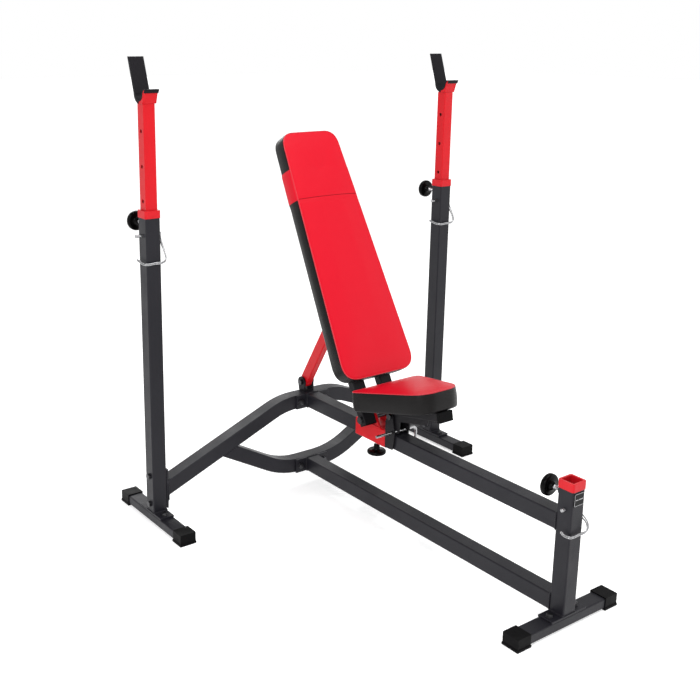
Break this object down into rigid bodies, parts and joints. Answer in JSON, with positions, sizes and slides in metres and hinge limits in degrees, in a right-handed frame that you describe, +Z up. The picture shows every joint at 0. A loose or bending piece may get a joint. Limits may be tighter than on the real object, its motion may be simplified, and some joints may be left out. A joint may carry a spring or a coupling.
{
  "type": "olympic bench press",
  "caption": "Adjustable weight bench with telescopic bar catches on two uprights, a strutted backrest and a tilting seat on a sliding carriage.",
  "frame": {"origin": "on the floor, under the middle of the bounding box", "axes": "+Z up; +Y towards the uprights and the user's head, -Y towards the foot end; +X to the right as seen from the foot end"},
  "size_m": [1.315, 1.4284, 1.51],
  "materials": {
    "frame_coat": "satin",
    "red_coat": "gloss",
    "black_coat": "satin",
    "zinc": "satin",
    "black_plastic": "matte",
    "red_plastic": "satin",
    "red_vinyl": "satin",
    "board": "matte",
    "label": "satin",
    "black_vinyl": "satin"
  },
  "bodies": {
    "frame": {"left_foot_beam": "frame_coat", "right_foot_beam": "frame_coat", "front_foot_beam": "frame_coat", "left_foot_cap_rear": "black_plastic", "left_foot_cap_front": "black_plastic", "right_foot_cap_rear": "black_plastic", "right_foot_cap_front": "black_plastic", "front_foot_cap_right": "black_plastic", "front_foot_cap_left": "black_plastic", "left_upright_post": "frame_coat", "right_upright_post": "frame_coat", "left_post_sleeve": "red_plastic", "right_post_sleeve": "red_plastic", "front_post": "frame_coat", "front_post_sleeve": "red_plastic", "front_post_plate": "label", "cross_arch": "frame_coat", "cross_brace": "frame_coat", "upper_rail": "frame_coat", "lower_rail": "frame_coat", "left_arch_bolt_upper": "zinc", "left_arch_bolt_lower": "zinc", "right_arch_bolt_upper": "zinc", "right_arch_bolt_lower": "zinc", "strut_clevis": "black_coat", "strut_foot_bolt": "zinc"},
    "left_catch": {"left_catch_tube": "red_coat", "left_catch_hook": "red_coat", "left_catch_guard": "black_plastic"},
    "right_catch": {"right_catch_tube": "red_coat", "right_catch_hook": "red_coat", "right_catch_guard": "black_plastic"},
    "left_lock_pin": {"left_lock_pin": "zinc"},
    "right_lock_pin": {"right_lock_pin": "zinc"},
    "front_lock_pin": {"front_lock_pin": "zinc"},
    "left_knob": {"left_knob": "black_plastic"},
    "right_knob": {"right_knob": "black_plastic"},
    "front_knob": {"front_knob": "black_plastic"},
    "carriage_knob": {"carriage_knob": "black_plastic"},
    "strut": {"backrest_strut": "red_coat"},
    "backrest": {"backrest_rail_left": "black_coat", "backrest_rail_right": "black_coat", "backrest_crossbar_lower": "black_coat", "backrest_crossbar_upper": "black_coat", "strut_head_bracket": "black_coat", "back_board": "board", "back_pad": "red_vinyl", "strut_head_bolt": "zinc"},
    "carriage": {"carriage_sleeve": "red_coat", "seat_bracket": "black_coat", "backrest_pivot_bolt": "zinc", "seat_pivot_bolt": "zinc"},
    "seat_rod": {"seat_lock_rod": "zinc"},
    "seat": {"seat_beam": "black_coat", "seat_beam_plug": "black_plastic", "seat_board": "board", "seat_pad": "red_vinyl"}
  },
  "joints": [
    {"name": "left_catch_slide", "type": "slide", "parent": "frame", "child": "left_catch", "axis": [0, 0, 1], "range_m": [-0.321, 0.107]},
    {"name": "left_pin_bail", "type": "hinge", "parent": "frame", "child": "left_lock_pin", "pos_m": [-0.62, 0.5072, 0.97], "axis": [1, 0, 0], "range_deg": [-100, 0]},
    {"name": "left_knob_turn", "type": "hinge", "parent": "frame", "child": "left_knob", "pos_m": [-0.62, 0.5672, 1.003], "axis": [0, 1, 0], "continuous": true},
    {"name": "right_catch_slide", "type": "slide", "parent": "frame", "child": "right_catch", "axis": [0, 0, 1], "range_m": [-0.321, 0.107]},
    {"name": "right_pin_bail", "type": "hinge", "parent": "frame", "child": "right_lock_pin", "pos_m": [0.62, 0.5072, 0.97], "axis": [1, 0, 0], "range_deg": [-100, 0]},
    {"name": "right_knob_turn", "type": "hinge", "parent": "frame", "child": "right_knob", "pos_m": [0.62, 0.5672, 1.003], "axis": [0, 1, 0], "continuous": true},
    {"name": "front_pin_bail", "type": "hinge", "parent": "frame", "child": "front_lock_pin", "pos_m": [0, -0.6778, 0.352], "axis": [1, 0, 0], "range_deg": [-100, 0]},
    {"name": "front_knob_turn", "type": "hinge", "parent": "frame", "child": "front_knob", "pos_m": [0, -0.6178, 0.39], "axis": [0, 1, 0], "continuous": true},
    {"name": "strut_swing", "type": "hinge", "parent": "frame", "child": "strut", "pos_m": [0, 0.5192, 0.365], "axis": [1, 0, 0], "range_deg": [-15, 49]},
    {"name": "backrest_fold", "type": "hinge", "parent": "strut", "child": "backrest", "pos_m": [0, 0.3137, 0.71248], "axis": [1, 0, 0], "range_deg": [-98, 30]},
    {"name": "carriage_level", "type": "hinge", "parent": "backrest", "child": "carriage", "pos_m": [0, 0.1082, 0.365], "axis": [1, 0, 0], "range_deg": [-15, 49]},
    {"name": "carriage_knob_turn", "type": "hinge", "parent": "carriage", "child": "carriage_knob", "pos_m": [0, 0.1202, 0.245], "axis": [0, 0, 1], "continuous": true},
    {"name": "seat_tilt", "type": "hinge", "parent": "carriage", "child": "seat", "pos_m": [0, 0.0232, 0.394], "axis": [1, 0, 0], "range_deg": [0, 11.6]},
    {"name": "seat_rod_slide", "type": "slide", "parent": "carriage", "child": "seat_rod", "axis": [1, 0, 0], "range_m": [0, 0.13]}
  ],
  "couplings": [
    {"joint": "backrest_fold", "follows": "strut_swing", "ratio": -2},
    {"joint": "carriage_level", "follows": "strut_swing", "ratio": 1}
  ]
}
